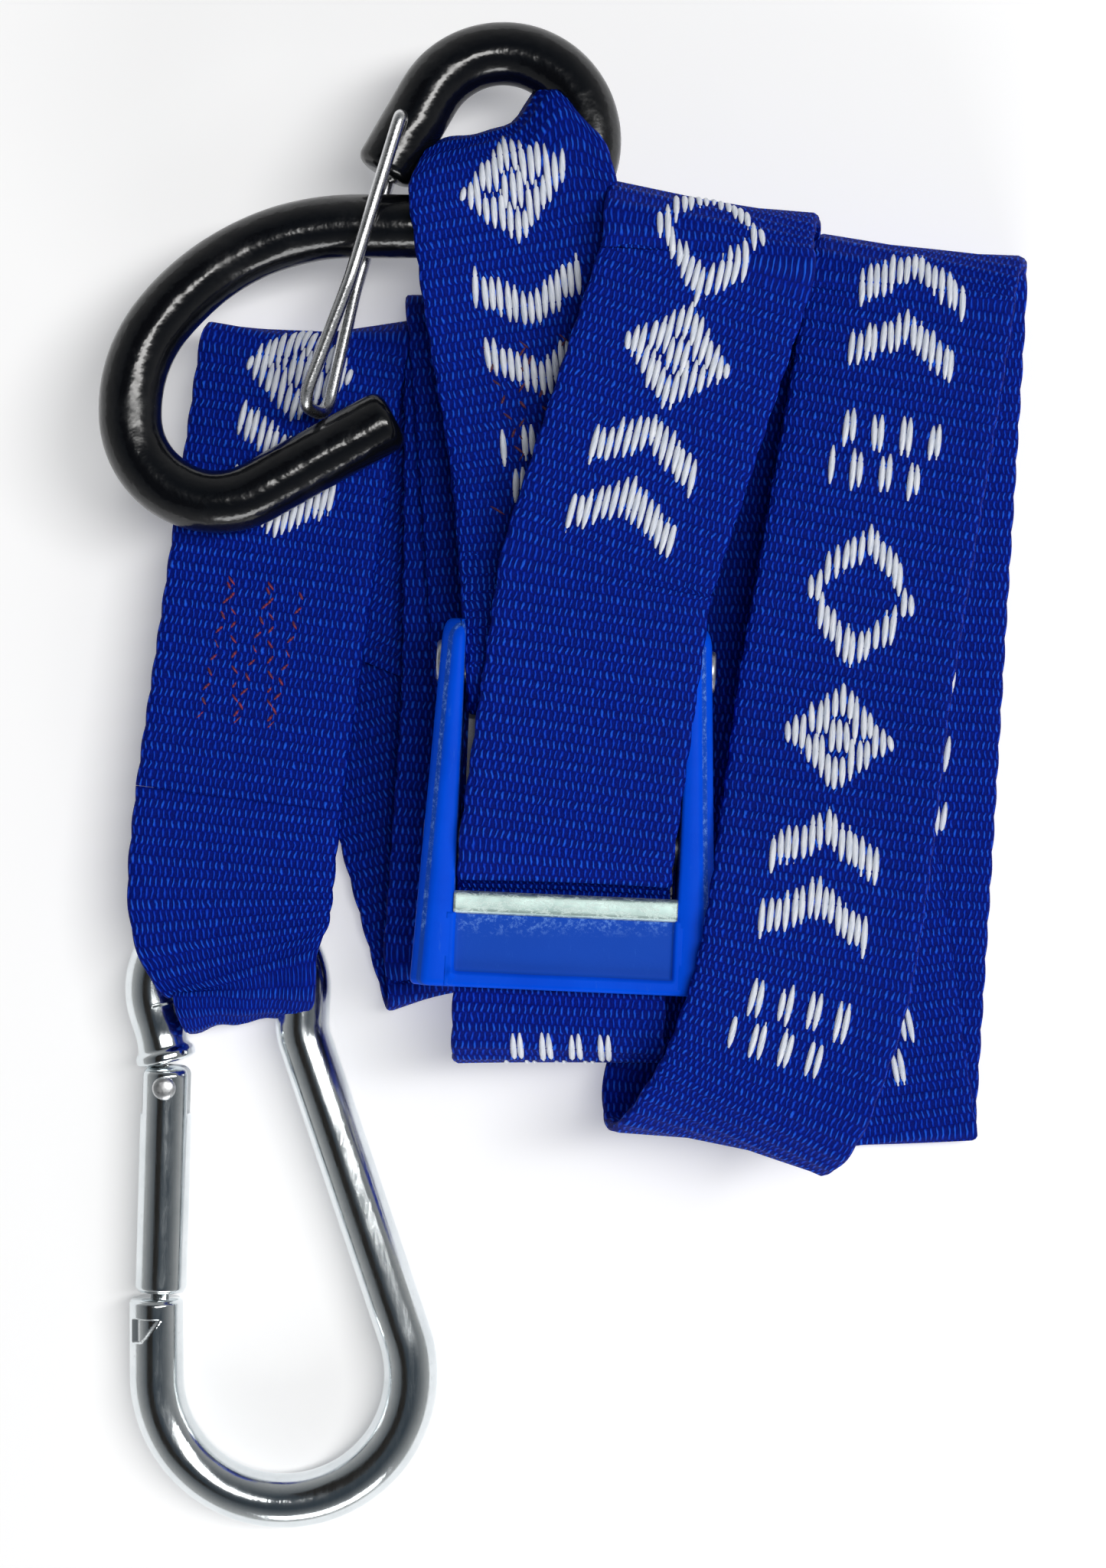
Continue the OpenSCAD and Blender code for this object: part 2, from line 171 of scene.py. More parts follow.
def across_of(d):
    """The level direction across a heading d, always towards +X."""
    side = np.stack([d[:, 1], -d[:, 0], 0 * d[:, 0]], -1)
    return unit(side * np.where(d[:, 1:2] > 0, 1, -1))


def pass_stations(points, softness):
    """Samples of one pass: places, widths and across directions, joined straight and then smoothed."""
    p = np.array(points, float)
    span = np.r_[0, np.cumsum(np.linalg.norm(np.diff(p[:, :3], axis=0), axis=1))]
    s = np.linspace(0, span[-1], max(int(span[-1] / FINE), 2))
    dense = np.stack([np.interp(s, span, p[:, k]) for k in range(4)], -1)
    heading = np.gradient(p[:, :2], axis=0) if len(p) > 2 else np.repeat(np.diff(p[:, :2], axis=0), 2, axis=0)
    side = across_of(heading)
    side = np.stack([np.interp(s, span, side[:, k]) for k in range(3)], -1)
    soft = smoothed(np.hstack([dense, side]), softness / FINE)
    return soft[:, :3], soft[:, 3:4], unit(soft[:, 4:7])


def fold_stations(before, after, bulge):
    """A rounded fold: from one pass's end to the next one's start along half a cosine wave, pushed outwards
    by bulge times the sine."""
    out = unit(before[0][-1] - before[0][-8])
    gap = np.linalg.norm(before[0][-1] - after[0][0])
    steps = max(int(math.pi * max(bulge, gap / 2) / FINE), 8)
    t = np.linspace(0, 1, steps + 1)[1:-1, None]
    m = (1 - np.cos(math.pi * t)) / 2
    place = before[0][-1] * (1 - m) + after[0][0] * m + out * bulge * np.sin(math.pi * t)
    return place, before[1][-1] * (1 - m) + after[1][0] * m, unit(before[2][-1] * (1 - m) + after[2][0] * m)


def route(passes, bulges, softness):
    """The whole webbing's centreline at even spacing: places, widths, across directions and the distance
    along it."""
    runs = [pass_stations(p, s) for p, s in zip(passes, softness)]
    parts = [runs[0]]
    for i, bulge in enumerate(bulges):
        parts += [fold_stations(runs[i], runs[i + 1], bulge), runs[i + 1]]
    place, width, side = (np.vstack([p[k] for p in parts]) for k in range(3))
    keep = np.r_[True, np.linalg.norm(np.diff(place, axis=0), axis=1) > 1e-6]
    place, width, side = place[keep], width[keep], side[keep]
    span = np.r_[0, np.cumsum(np.linalg.norm(np.diff(place, axis=0), axis=1))]
    table = np.hstack([place, width, side])
    s = np.arange(0, span[-1], STATION)
    table = np.stack([np.interp(s, span, table[:, k]) for k in range(7)], -1)
    table = smoothed(table, 0.8)
    return {"place": table[:, :3], "width": table[:, 3], "side": unit(table[:, 4:7]), "s": s}


def part_of(r, start, end):
    """The stretch of a route between two distances along it."""
    keep = (r["s"] >= start - 1e-6) & (r["s"] <= end + 1e-6)
    return {k: v[keep] for k, v in r.items()}


def riding_up(r, point, reach):
    """The route with a share, 1 at the station nearest to point and falling off over reach, by which the
    webbing's right side climbs the eye's curve."""
    return {**r, "ride_up": np.exp(-((r["s"] - s_at(r, point)) / reach) ** 2)}


def surface_frame(r):
    """Along, across and up directions at every station; up is across x along."""
    along = unit(np.gradient(r["place"], axis=0))
    side = unit(r["side"] - along * np.einsum("ij,ij->i", r["side"], along)[:, None])
    return along, side, np.cross(side, along)


def sag_of(u, s, width):
    """How far the cloth stands off its flat shape: slow waves along it and a slight cup, and pleats where
    it is gathered to less than its full width."""
    q = 2 * u / WEB_W
    slow = 0.14 * np.sin(s / 9.0 + 1.3 * q) + 0.10 * np.sin(s / 21.0 - 0.8) * (2 * q * q - 0.7)
    gather = np.clip(1 - width / WEB_W, 0, 0.6)
    return slow + 0.5 * gather * np.cos(5 * u / WEB_W * math.pi)


def on_webbing(r, u, s, lift):
    """Places on or above the webbing at u across it, s along it and lift off its middle surface. No place is
    lower than just above the floor."""

    def pick(a):
        return np.stack([np.interp(s, r["s"], a[:, k]) for k in range(3)], -1)

    _, side, up = surface_frame(r)
    width = np.interp(s, r["s"], r["width"])
    centre, side, up = pick(r["place"]), unit(pick(side)), unit(pick(up))
    squeeze = (width / WEB_W)[..., None] * u[..., None]
    place = centre + side * squeeze + up * (lift + sag_of(u, s, width))[..., None]
    if "ride_up" in r:
        climb = 4.8 * np.exp(-((u - 7.3) / 3.4) ** 2) - 0.8 * (u / 12.3) ** 4
        place[..., 1] += climb * np.interp(s, r["s"], r["ride_up"])
    place[..., 2] = np.maximum(place[..., 2], OVER_FLOOR)
    return place


def webbing(name, r):
    """A band of webbing: its section is a flat strip with round edges; ribs cross it as a cosine of the
    distance along, and its edges are scalloped."""
    edge = np.radians([50, 15, -15, -50])
    flat = np.linspace(-1, 1, 19)
    half = WEB_W / 2 - WEB_T / 2
    round_edge = half + WEB_T / 2 * np.cos(edge)
    u = np.r_[flat * half, round_edge, flat[::-1] * half, -round_edge]
    v = np.r_[np.ones(19), np.sin(edge), -np.ones(19), -np.sin(edge)] * WEB_T / 2
    s = r["s"][:, None]
    rib = 0.15 * np.cos(TAU * s / RIB) + 0.03 * np.cos(TAU * s / RIB / 2)
    scallop = 1 + 0.016 * np.abs(np.cos(TAU * s / RIB / 4)) - 0.008
    uu = u[None, :] * np.where(np.abs(u)[None, :] > half * 0.8, scallop, 1)
    vv = v[None, :] + np.sign(v)[None, :] * rib * (np.abs(v)[None, :] > WEB_T * 0.49)
    places = on_webbing(r, uu, np.broadcast_to(s, uu.shape), vv)
    marks = np.stack([np.broadcast_to(a, uu.shape) for a in (u, s, np.sign(v))], -1)
    return loft(name, places, {"weave": marks})


# ---------------------------------------------------------------- materials


class Shader:
    """A node material with short calls for its nodes."""

    def __init__(self, name):
        self.material = bpy.data.materials.new(name)
        self.material.use_nodes = True
        self.tree = self.material.node_tree
        self.tree.nodes.clear()
        self.out = self.tree.nodes.new("ShaderNodeOutputMaterial")
        self.bsdf = self.tree.nodes.new("ShaderNodeBsdfPrincipled")
        self.tree.links.new(self.bsdf.outputs[0], self.out.inputs[0])

    def set(self, **values):
        """Constants, or another node's output, on the surface shader's own sockets."""
        for key, value in values.items():
            socket = self.bsdf.inputs[key.replace("_", " ")]
            if isinstance(value, bpy.types.NodeSocket):
                self.tree.links.new(value, socket)
            else:
                socket.default_value = (*value, 1) if isinstance(value, tuple) else value

    def node(self, kind, inputs=(), **settings):
        """A node with its settings, and its inputs set to constants or linked to other nodes' outputs."""
        n = self.tree.nodes.new("ShaderNode" + kind)
        for key, value in settings.items():
            setattr(n, key, value)
        for key, value in dict(inputs).items():
            if isinstance(value, bpy.types.NodeSocket):
                self.tree.links.new(value, n.inputs[key])
            else:
                n.inputs[key].default_value = value
        return n

    def math(self, operation, a, b=0.0):
        return self.node("Math", {0: a, 1: b}, operation=operation).outputs[0]

    def times(self, a, b):
        return self.math("MULTIPLY", a, b)

    def plus(self, a, b):
        return self.math("ADD", a, b)

    def positive(self, a):
        return self.math("MAXIMUM", a, 0.0)

    def slope(self, value, none, full):
        """0 where value is at or past none, 1 where it is at or past full, and straight between."""
        return self.node("MapRange", {"Value": value, "From Min": none, "From Max": full}).outputs[0]

    def places(self):
        """The piece's own coordinates in millimetres."""
        coordinates = self.node("TexCoord").outputs["Object"]
        return self.node("VectorMath", {0: coordinates, 3: 1 / MM}, operation="SCALE").outputs[0]

    def stretched(self, vector, factors):
        """A vector times a factor on each axis: a small factor draws the pattern out along that axis."""
        return self.node("VectorMath", {0: vector, 1: factors}, operation="MULTIPLY").outputs[0]

    def noise(self, vector, scale, detail=3.0, roughness=0.55, distortion=0.0):
        return self.node("TexNoise", {"Vector": vector, "Scale": scale, "Detail": detail,
                                      "Roughness": roughness, "Distortion": distortion}).outputs["Fac"]

    def ramp(self, value, *stops):
        """A colour ramp through (position, colour or grey) stops."""
        n = self.node("ValToRGB", {"Fac": value})
        while len(n.color_ramp.elements) < len(stops):
            n.color_ramp.elements.new(0.5)
        for element, (position, colour) in zip(n.color_ramp.elements, stops):
            element.position = position
            element.color = (*colour, 1) if isinstance(colour, tuple) else (colour, colour, colour, 1)
        return n.outputs["Color"]

    def mix(self, factor, a, b):
        """Colour a turning into colour b as factor goes from 0 to 1."""
        n = self.node("Mix", data_type="RGBA")
        for index, value in ((0, factor), (6, a), (7, b)):
            if isinstance(value, bpy.types.NodeSocket):
                self.tree.links.new(value, n.inputs[index])
            else:
                n.inputs[index].default_value = (*value, 1) if isinstance(value, tuple) else value
        return n.outputs[2]

    def bump(self, height, strength, distance):
        n = self.node("Bump", {"Height": height, "Strength": strength, "Distance": distance})
        self.tree.links.new(n.outputs[0], self.bsdf.inputs["Normal"])


def webbing_material(name, valley_shade, body, light):
    """Ribbed polyester webbing. Rows of short yarn floats and rows of longer ones alternate along it,
    half a yarn apart across it, leaning a little; the bump is the height of those floats. The colour follows
    that height too: painted shade in the hollows between the floats, the webbing's own blue on their sides
    and a painted highlight on their crowns, which the short floats reach most; fuzz noise adds random tone."""
    yarn_pitch = 0.72
    m = Shader(name)
    weave = m.node("Attribute", attribute_name="weave").outputs["Vector"]
    split = m.node("SeparateXYZ", {0: weave})
    u, v = split.outputs[0], split.outputs[1]
    wander = m.noise(weave, 0.7, 2.0)
    row = m.math("DIVIDE", m.plus(v, m.times(wander, 0.25)), RIB)
    lean = m.math("SINE", m.times(row, TAU / 2))
    aside = m.plus(m.times(lean, 0.07), m.times(wander, 0.7))
    yarn = m.math("DIVIDE", m.plus(u, aside), yarn_pitch)
    across = m.math("COSINE", m.times(yarn, TAU))
    along = m.math("COSINE", m.times(row, TAU))
    short = m.times(m.positive(across), m.math("POWER", m.positive(along), 0.6))
    across, along = m.times(across, -1.0), m.times(along, -1.0)
    long = m.times(m.positive(across), m.math("POWER", m.positive(along), 0.35))
    fuzz = m.noise(weave, 3.2, 3.0, 0.7)
    height = m.plus(m.plus(short, m.times(long, 0.62)), m.times(fuzz, 0.35))
    # Painted shade and highlight: dark in the hollows between the floats, bright on their crowns, by float
    # height.
    colour = m.ramp(height, (0.10, valley_shade), (0.55, body), (1.0, light))
    patch = m.noise(m.places(), 0.05, 3.0)
    colour = m.mix(m.times(patch, 0.30), colour, tuple(0.40 * c for c in body))
    m.set(Base_Color=colour, Roughness=0.60, Specular_IOR_Level=0.05)
    m.bump(height, 0.8, 0.0003)
    return m.material


def yarn_material(name, dark, light):
    """Loose yarn floats: fine filaments along the yarn, brightest along its crown."""
    m = Shader(name)
    weave = m.node("Attribute", attribute_name="weave").outputs["Vector"]
    filaments = m.noise(m.stretched(weave, (1.0, 0.09, 1.0)), 5.0, 4.0, 0.7)
    m.set(Base_Color=m.ramp(filaments, (0.30, dark), (0.62, light)), Roughness=0.5, Specular_IOR_Level=0.35,
          Sheen_Weight=0.1)
    m.bump(filaments, 0.5, 0.00015)
    return m.material


def thread_material(name, dark, light):
    """Twisted sewing thread."""
    m = Shader(name)
    places = m.places()
    twist = m.node("TexWave", {"Vector": places, "Scale": 0.9, "Distortion": 1.5, "Detail": 1.0},
                   bands_direction="DIAGONAL").outputs["Fac"]
    patch = m.noise(places, 0.6, 3.0)
    m.set(Base_Color=m.ramp(m.times(m.plus(twist, patch), 0.5), (0.2, dark), (0.8, light)),
          Roughness=0.55, Sheen_Weight=0.15)
    m.bump(twist, 0.4, 0.0001)
    return m.material


def metal_material(name, tone, roughness, scratch_tone, scratches, stretch=(1.0, 1.0, 1.0),
                   stain=(0.30, 0.30, 0.32)):
    """Plated or bare steel: cloudy tone, fine scratches from a stretched noise, and darker stains."""
    m = Shader(name)
    places = m.places()
    cloud = m.noise(places, 0.16, 4.0, 0.6)
    streaks = m.noise(m.stretched(places, stretch), 1.4, 5.0, 0.75, 0.6)
    lines = m.ramp(streaks, (0.48, 0.0), (0.52, 1.0), (0.56, 0.0))
    pits = m.ramp(m.noise(places, 1.1, 5.0, 0.8), (0.60, 0.0), (0.72, 1.0))
    base = m.mix(m.ramp(cloud, (0.35, 0.0), (0.75, 0.7)), tone, stain)
    base = m.mix(m.times(lines, scratches), base, scratch_tone)
    base = m.mix(m.times(pits, 0.25), base, tuple(0.35 * c for c in tone))
    rough = m.plus(m.plus(roughness, m.times(cloud, 0.16)), m.times(lines, 0.3 * scratches))
    m.set(Base_Color=base, Metallic=1.0, Roughness=rough)
    m.bump(m.math("SUBTRACT", m.times(pits, -0.6), lines), 0.05 + 0.2 * scratches, 0.00002)
    return m.material


def vinyl_material():
    """Glossy dipped vinyl with a faint orange-peel surface and dull rubbed patches."""
    m = Shader("black_vinyl")
    places = m.places()
    peel = m.noise(places, 0.35, 3.0, 0.5)
    rub = m.ramp(m.noise(places, 0.12, 5.0, 0.7), (0.52, 0.0), (0.70, 1.0))
    m.set(Base_Color=m.mix(m.times(rub, 0.5), (0.003, 0.0035, 0.005), (0.010, 0.011, 0.013)),
          Roughness=m.plus(0.16, m.times(rub, 0.16)), Specular_IOR_Level=0.5)
    m.bump(peel, 0.35, 0.0004)
    return m.material


def paint_material():
    """Satin blue paint with fine rubbed scratches and paler scuffs. The floor plate's sunk panel is duller,
    and rubbed pale in speckles beside the wear bar."""
    m = Shader("blue_painted_metal")
    places = m.places()
    split = m.node("SeparateXYZ", {0: places})
    cloud = m.noise(places, 0.12, 4.0)
    fine = m.noise(places, 2.6, 4.0, 0.8)
    off_panel = m.math("ABSOLUTE", m.plus(split.outputs[2], PANEL_DEPTH - BUCKLE_AT[2]))
    sunk = m.slope(off_panel, 0.4, 0.2)
    bar_edge = BASE[1] + BUCKLE_AT[1] + BAR_FROM
    beside_bar = m.slope(split.outputs[1], bar_edge - 2.35, bar_edge - 0.85)
    scuff = m.noise(m.stretched(places, (1.0, 0.22, 1.0)), 0.9, 6.0, 0.82, 0.4)
    scuff = m.ramp(scuff, (0.60, 0.0), (0.70, 1.0))
    speckle = m.ramp(m.noise(places, 1.3, 6.0, 0.8), (0.50, 0.0), (0.62, 1.0))
    speckle = m.times(m.times(sunk, beside_bar), speckle)
    base = m.mix(cloud, (0.0005, 0.058, 0.66), (0.0015, 0.105, 0.94))
    base = m.mix(m.times(sunk, 0.75), base, (0.014, 0.072, 0.420))
    base = m.mix(m.times(scuff, 0.22), base, (0.05, 0.20, 0.80))
    base = m.mix(m.times(speckle, 0.7), base, (0.16, 0.34, 0.86))
    m.set(Base_Color=base, Roughness=m.plus(0.30, m.times(fine, 0.22)), Specular_IOR_Level=0.025)
    m.bump(fine, 0.18, 0.0001)
    return m.material


# ---------------------------------------------------------------- yarns that lie on the webbing


def strands(name, r, ends, half_width, height, stations=6, around=5):
    """Tapered yarns on the webbing's faces. ends holds a row (u0, s0, u1, s1, face) for each. Along a yarn
    at 0 < t < 1 its half width and height are times sin(pi t)^0.45."""
    e = np.asarray(ends, float)
    t = np.linspace(0.02, 0.98, stations)
    taper = np.sin(math.pi * t) ** 0.45
    turn = np.arange(around) / around * TAU + TAU / 4
    u = e[:, None, 0] * (1 - t) + e[:, None, 2] * t
    s = e[:, None, 1] * (1 - t) + e[:, None, 3] * t
    uu = u[..., None] + half_width * taper[:, None] * np.cos(turn)
    lift = WEB_T / 2 - 0.05 + height * taper[:, None] * (0.4 + np.sin(turn))
    vv = e[:, 4, None, None] * np.broadcast_to(lift, uu.shape)
    ss = np.broadcast_to(s[..., None], uu.shape)
    rings = on_webbing(r, uu, ss, vv)
    marks = np.stack([uu, ss, np.broadcast_to(e[:, 4, None, None], uu.shape)], -1)
    count = stations * around
    points = np.concatenate([rings.reshape(len(e), count, 3), rings[:, :1].mean(2), rings[:, -1:].mean(2)], 1)
    marks = np.concatenate([marks.reshape(len(e), count, 3), marks[:, :1].mean(2), marks[:, -1:].mean(2)], 1)
    quads, caps = loft_faces(stations, around)
    first = (np.arange(len(e)) * (count + 2))[:, None, None]
    upside = (e[:, 4] < 0)[:, None, None]
    quads = np.where(upside, quads[:, ::-1], quads) + first
    caps = np.where(upside, caps[:, ::-1], caps) + first
    return new_piece(name, points.reshape(-1, 3), quads.reshape(-1, 4), caps.reshape(-1, 3),
                     {"weave": marks.reshape(-1, 3)})


def s_at(r, point):
    """The distance along the route of the station nearest to a point."""
    return r["s"][np.linalg.norm(r["place"] - np.array(point, float), axis=1).argmin()]


def row_between(r, a, b, count):
    """count evenly spaced distances between two points of a route."""
    return list(np.linspace(s_at(r, a), s_at(r, b), count))


YARN = 0.86         # spacing of the figures' yarns across the webbing
FLOAT = 4.4         # length of one yarn float


def lozenge(x):
    """Half of its length falls off in a straight line from the middle column to the edge."""
    half = 6.6 * (1 - abs(x) / 6.9)
    return [(-half, half)]


def chevrons(x):
    """Two bars bent in the middle."""
    return [(c + 0.62 * abs(x) - 2.1, c + 0.62 * abs(x) + 2.1) for c in (-6.2, 1.8)]


def steps(x):
    """Two rows of short bars that alternate like a checkerboard."""
    odd = int(round(x / YARN) + 20) // 2 % 2
    return [(-4.6, -0.4)] if odd else [(0.4, 4.6)]


def ring_of_bars(x):
    """An open lozenge: the two sloping sides and no middle."""
    edge = 6.8 * (1 - abs(x) / 7.4)
    return [(-edge - 1.9, -edge + 2.1), (edge - 2.1, edge + 1.9)] if edge > 2.4 else [(-edge, edge)]


FIGURES = [lozenge, chevrons, steps, ring_of_bars]


def figure_yarns(centres, random):
    """Yarn ends of the woven figures at these distances along, on both faces; a long bar is laid as several
    floats."""
    rows = []
    for k, centre in enumerate(centres):
        for column in range(-7, 8):
            x = column * YARN
            for a, b in FIGURES[k % len(FIGURES)](x):
                parts = max(int(round((b - a) / FLOAT)), 1)
                for i in range(parts):
                    s0 = centre + a + (b - a) * i / parts
                    s1 = centre + a + (b - a) * (i + 1) / parts
                    j = random.normal(0, 1, 4)
                    for face in (1, -1):
                        rows.append((x - 0.16 + 0.07 * j[0], s0 - 0.25 + 0.22 * j[1], x + 0.20 + 0.07 * j[2],
                                     s1 + 0.25 + 0.22 * j[3], face))
    return rows


def stitch_line(points, pitch, length, sway):
    """Stitches along a polyline in (u, s): one every pitch, each length long, swaying to alternate sides."""
    rows = []
    for (u0, s0), (u1, s1) in zip(points, points[1:]):
        span = math.hypot(u1 - u0, s1 - s0)
        count = max(int(span / pitch), 1)
        for i in range(count):
            a, b = i / count, i / count + length / span
            side = sway if i % 2 else -sway
            for face in (1, -1):
                rows.append((u0 + (u1 - u0) * a + side, s0 + (s1 - s0) * a, u0 + (u1 - u0) * b - side,
                             s0 + (s1 - s0) * b, face))
    return rows


# ---------------------------------------------------------------- rods


def bent_path(start, heading, bends, step=0.45):
    """A planar path of straight runs [length] and bends [radius, turn in degrees]: places and the distance
    along."""
    place, angle = np.array(start, float), math.radians(heading)
    out = [place]
    for b in bends:
        if len(b) == 1:
            n = max(int(b[0] / step), 1)
            way = np.array([math.cos(angle), math.sin(angle)])
            out += [place + way * b[0] * (i + 1) / n for i in range(n)]
            place = place + way * b[0]
        else:
            turn = math.radians(b[1])
            side = math.copysign(1, turn)
            centre = place + side * b[0] * np.array([-math.sin(angle), math.cos(angle)])
            n = max(int(abs(turn) * b[0] / step), 1)
            for i in range(n):
                a = angle + turn * (i + 1) / n
                out.append(centre - side * b[0] * np.array([-math.sin(a), math.cos(a)]))
            place, angle = out[-1], angle + turn
    path = np.array(out)
    return path, np.r_[0, np.cumsum(np.linalg.norm(np.diff(path, axis=0), axis=1))]


def tube(name, path, radius, up, around=32):
    """A round rod along path, whose section at each station is radius times a circle in the plane of up and
    side. radius is an array over stations, or over stations and the points around."""
    along = unit(np.gradient(path, axis=0))
    side = unit(np.cross(along, up))
    top = np.cross(side, along)
    turn = np.arange(around) / around * TAU
    radius = np.asarray(radius, float)
    radius = radius[:, None] if radius.ndim == 1 else radius
    circle = side[:, None] * np.cos(turn)[:, None] + top[:, None] * np.sin(turn)[:, None]
    return loft(name, path[:, None] + radius[..., None] * circle)


def shoulder(distance, reach):
    """An ellipse's quarter: 1 at the end of a rod, falling to 0 at reach from it."""
    return 1 - np.sqrt(np.clip(1 - (1 - np.clip(distance / reach, 0, 1)) ** 2, 0, 1))


def rounded_ends(s, radius, first, last):
    """The radius along a rod whose two ends are rounded over the lengths first and last."""
    return radius * (1 - 0.42 * shoulder(s, first)) * (1 - 0.42 * shoulder(s[-1] - s, last))


def end_dense(path, s, reach, step=0.08):
    """The same path with finer stations within reach of both ends."""
    fine = np.unique(np.r_[np.arange(0, reach, step), s[(s > reach) & (s < s[-1] - reach)],
                           np.arange(s[-1] - reach, s[-1], step), s[-1]])
    return np.stack([np.interp(fine, s, path[:, k]) for k in range(path.shape[1])], -1), fine


HOOK_Z = 15         # height of the S-hook's plane
SLEEVE_R = 3.75
WIRE_R = 0.8
WIRE_PIVOT = np.array([-19.2, 77.8])
WIRE_FOOT = np.array([-29.8, 43.4])
LEVEL_UP = np.array([0, 0, 1.0])


def hook_sleeve():
    """The vinyl sleeve: a rod along the S-hook's path, its radius waving by a hundredth, with a low boss
    round the wire's hole and rounded closed ends."""
    flat, s = bent_path((-21.5, 71.5), 60, [[10.8], [10.3, -240], [17.7], [29.3, 50], [0.5], [17.3, 40],
                                            [0.5], [10.4, 119], [18.3]])
    path, s = end_dense(np.c_[flat, np.full(len(flat), HOOK_Z)], s, 3)
    wave = 1 + 0.006 * np.sin(s / 5.0) + 0.004 * np.sin(s / 2.1 + 1)
    radius = rounded_ends(s, SLEEVE_R, 1.3, 1.6) * wave
    around = 40
    turn = np.arange(around) / around * TAU
    d = np.linalg.norm(path[:, :2] - WIRE_PIVOT, axis=1)
    boss = 0.22 * np.exp(-(d / 1.5) ** 2)[:, None] * np.sin(turn)[None, :] ** 6
    return tube("hook_sleeve", path, radius[:, None] + boss, LEVEL_UP, around)


def gate_wire():
    """The wire gate: from its hole above the rod, out past the sleeve, down to the foot, round a half turn
    there and back under the rod. Corners are softened by smoothing the polyline."""
    way = unit(WIRE_FOOT - WIRE_PIVOT)
    across = np.array([way[1], -way[0]])
    mid = WIRE_PIVOT + (WIRE_FOOT - WIRE_PIVOT) * 0.56
    knee = WIRE_FOOT - way * 1.6
    corners = []
    for face in (1, -1):
        leg = [(WIRE_PIVOT, 1.2), (WIRE_PIVOT, 4.9), (mid, 4.8), (knee + across * 1.25 * face, 2.6),
               (WIRE_FOOT + across * 0.9 * face, 1.6)]
        corners += [(*at, HOOK_Z + face * off) for at, off in leg[::face]]
    corners = np.array(corners)
    span = np.r_[0, np.cumsum(np.linalg.norm(np.diff(corners, axis=0), axis=1))]
    s = np.arange(0, span[-1], 0.12)
    path = smoothed(np.stack([np.interp(s, span, corners[:, k]) for k in range(3)], -1), 6)
    return tube("gate_wire", path, np.full(len(path), WIRE_R), np.array([*across, 0.02]), 16)


SNAP_R = 3.3
GATE_R = 3.15
SNAP_BAR = np.array([-41, -16.9, 5.2])      # middle of the bar in the sewn loop
SNAP_TILT = math.radians(1.4)
COLLAR = np.array([-48.45, -35.1])          # start of the gate, in the hook's own plane
GATE_HEADING = math.radians(268.2)
GATE_WAY = np.array([math.cos(GATE_HEADING), math.sin(GATE_HEADING)])
SNAP_UP = np.array([0, -math.sin(SNAP_TILT), math.cos(SNAP_TILT)])


def on_snap(flat, lift=0.0):
    """Points of the snap hook's own plane in the webbing's frame: the plane tilts about the bar of its narrow
    end."""
    flat = np.asarray(flat, float)
    dy = flat[..., 1] - SNAP_BAR[1]
    y = SNAP_BAR[1] + dy * math.cos(SNAP_TILT)
    z = SNAP_BAR[2] + dy * math.sin(SNAP_TILT)
    return np.stack([flat[..., 0], y, z], -1) + SNAP_UP * np.asarray(lift)[..., None]


def snap_body():
    """The snap hook's rod, with a flange where its end meets the gate and, in the tip's upper face, the
    hooked cut that catches the gate's nose. The cut is a step in the radius inside a triangle."""
    flat, s = bent_path((-49.9, -64.2), 270, [[9.4], [15.6, 198.5], [38], [7, -22], [3.2], [9.3, 196.5], [7]])
    flat, s = end_dense(flat, s, 7, 0.12)
    around = 72
    turn = np.arange(around) / around * TAU
    end = s[-1] - s
    radius = SNAP_R * (1 + 0.003 * np.sin(s / 7.0)) - 0.35 * np.exp(-(s / 0.28) ** 2)
    radius = radius + 0.42 * np.exp(-((end - 0.8) / 0.75) ** 4) - 0.25 * np.exp(-((end - 3.4) / 2.0) ** 2)
    radius = np.where(end < 0.3, radius * (0.90 + end / 3), radius)[:, None]
    along = s[:, None] - 2.2
    height = SNAP_R * np.cos(turn)[None, :]
    on_top = (np.sin(turn) > 0)[None, :]
    inside = (along > 0) & (along < 2.9) & ((height + 0.4) * 1.25 > along - 0.35) & on_top
    depth = 0.55 * (inside & (height < 2.6))
    return tube("snap_body", on_snap(flat), radius - depth, SNAP_UP, around)


def gate_rod():
    """The snap hook's gate: a rod with rounded shoulders and, at the pivot end, the fork's slot on both
    sides. A square nose stands out of its other end."""
    s = np.unique(np.r_[np.arange(0.45, 9, 0.12), np.arange(9, 25, 0.5), np.arange(25, 28.25, 0.1)])
    flat = COLLAR + GATE_WAY * s[:, None]
    around = 64
    turn = np.arange(around) / around * TAU
    radius = GATE_R * (1 - 0.5 * shoulder(s - s[0], 1.2)) - 0.3 * np.exp(-((s[-1] - s) / 0.3) ** 2)
    slot = 1.7 * (np.abs(np.sin(turn)) * GATE_R < 1.35)[None, :] * np.clip((6.4 - s) / 0.3, 0, 1)[:, None]
    rod = tube("gate_rod", on_snap(flat), radius[:, None] - slot, SNAP_UP, around)
    s = np.array([27.6, 27.8, 30.2, 30.4, 30.5])
    nose = on_snap(COLLAR + GATE_WAY * s[:, None])
    grow = np.array([1.0, 1.0, 1.0, 0.85, 0.5])[:, None]
    turn = np.arange(24) / 24 * TAU
    box = 1.15 / np.maximum(np.abs(np.cos(turn)), np.abs(np.sin(turn))) ** 0.85
    return joined("gate_rod", [rod, tube("gate_nose", nose, grow * box, SNAP_UP, 24)])


def gate_rivet():
    """The gate's rivet: a pin with a domed head at each end."""
    rivet = COLLAR + GATE_WAY * 3
    h = np.r_[-3.62, -3.58, -3.45, -3.2, -2.9, -2.6, 2.6, 2.9, 3.2, 3.45, 3.58, 3.62]
    r = np.r_[0.2, 0.75, 1.2, 1.42, 1.46, 1.25, 1.25, 1.46, 1.42, 1.2, 0.75, 0.2]
    path = on_snap(np.broadcast_to(rivet, (len(h), 2)), h)
    return tube("gate_rivet", path, r, np.array([0, 1.0, 0]), 28)


# ---------------------------------------------------------------- the buckle

